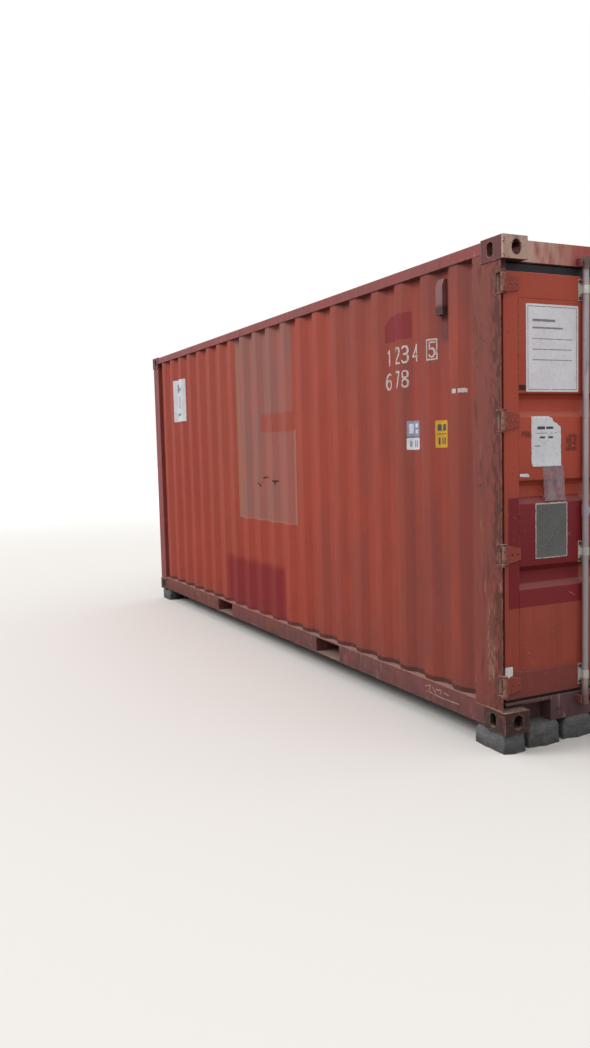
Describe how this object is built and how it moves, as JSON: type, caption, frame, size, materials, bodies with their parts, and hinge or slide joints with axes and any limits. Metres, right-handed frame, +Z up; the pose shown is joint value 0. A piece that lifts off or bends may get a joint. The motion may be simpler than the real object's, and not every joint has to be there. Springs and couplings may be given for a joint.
{
  "type": "shipping container",
  "caption": "Steel box container with ridged walls, hinged end doors with lock bars, corner castings and fork pockets, on broken concrete blocks",
  "frame": {"origin": "middle of the footprint, at the foot of the concrete blocks", "axes": "+X along the container to the door end, -Y the left side seen from the doors, +Z up"},
  "size_m": [6.058, 2.438, 2.701],
  "materials": {
    "wall_paint": "matt chalky container paint, rust specks",
    "frame_paint": "matt paint, chipped edges",
    "casting_paint": "worn paint over cast steel",
    "underframe_paint": "dirty matt paint",
    "door_paint": "matt paint with touched-up patches",
    "galvanised_steel": "weathered zinc",
    "gasket_rubber": "matt",
    "floor_plywood": "worn",
    "concrete": "rough broken concrete"
  },
  "bodies": {
    "container": {"casting_door_left_top": "casting_paint", "casting_door_right_top": "casting_paint", "casting_door_left_bottom": "casting_paint", "casting_door_right_bottom": "casting_paint", "casting_end_left_top": "casting_paint", "casting_end_right_top": "casting_paint", "casting_end_left_bottom": "casting_paint", "casting_end_right_bottom": "casting_paint", "door_post_left": "frame_paint", "door_post_right": "frame_paint", "end_post_left": "frame_paint", "end_post_right": "frame_paint", "door_header": "frame_paint", "door_sill": "underframe_paint", "end_header": "frame_paint", "end_sill": "underframe_paint", "top_rail_left": "frame_paint", "top_rail_right": "frame_paint", "bottom_rail_left": "underframe_paint", "bottom_rail_right": "underframe_paint", "side_wall_left": "wall_paint", "side_wall_right": "wall_paint", "end_wall": "wall_paint", "roof": "wall_paint", "floor": "floor_plywood", "cross_members": "underframe_paint", "forklift_pockets": "underframe_paint", "ventilators": "wall_paint", "hinge_lugs": "frame_paint", "lock_keepers": "frame_paint", "concrete_door_end": "concrete", "concrete_closed_end": "concrete"},
    "left_door": {"door_frame_left": "door_paint", "door_panel_left": "door_paint", "door_gasket_left": "gasket_rubber", "hinge_blades_left": "door_paint", "bar_brackets_left": "galvanised_steel"},
    "right_door": {"door_frame_right": "door_paint", "door_panel_right": "door_paint", "door_gasket_right": "gasket_rubber", "hinge_blades_right": "door_paint", "bar_brackets_right": "galvanised_steel"},
    "left_outer_lock_bar": {"lock_bar_left_outer": "galvanised_steel"},
    "left_inner_lock_bar": {"lock_bar_left_inner": "galvanised_steel"},
    "right_outer_lock_bar": {"lock_bar_right_outer": "galvanised_steel"},
    "right_inner_lock_bar": {"lock_bar_right_inner": "galvanised_steel"}
  },
  "joints": [
    {"name": "left_door_swing", "type": "hinge", "parent": "container", "child": "left_door", "pos_m": [3.012, -1.203, 1.406], "axis": [0, 0, -1], "range_deg": [0, 260]},
    {"name": "right_door_swing", "type": "hinge", "parent": "container", "child": "right_door", "pos_m": [3.012, 1.203, 1.406], "axis": [0, 0, 1], "range_deg": [0, 260]},
    {"name": "left_outer_bar_turn", "type": "hinge", "parent": "left_door", "child": "left_outer_lock_bar", "pos_m": [3.007, -0.643, 1.31], "axis": [0, 0, 1], "range_deg": [-90, 0]},
    {"name": "left_inner_bar_turn", "type": "hinge", "parent": "left_door", "child": "left_inner_lock_bar", "pos_m": [3.007, -0.15, 1.31], "axis": [0, 0, -1], "range_deg": [-90, 0]},
    {"name": "right_outer_bar_turn", "type": "hinge", "parent": "right_door", "child": "right_outer_lock_bar", "pos_m": [3.007, 0.643, 1.31], "axis": [0, 0, -1], "range_deg": [-90, 0]},
    {"name": "right_inner_bar_turn", "type": "hinge", "parent": "right_door", "child": "right_inner_lock_bar", "pos_m": [3.007, 0.15, 1.31], "axis": [0, 0, 1], "range_deg": [-90, 0]}
  ]
}
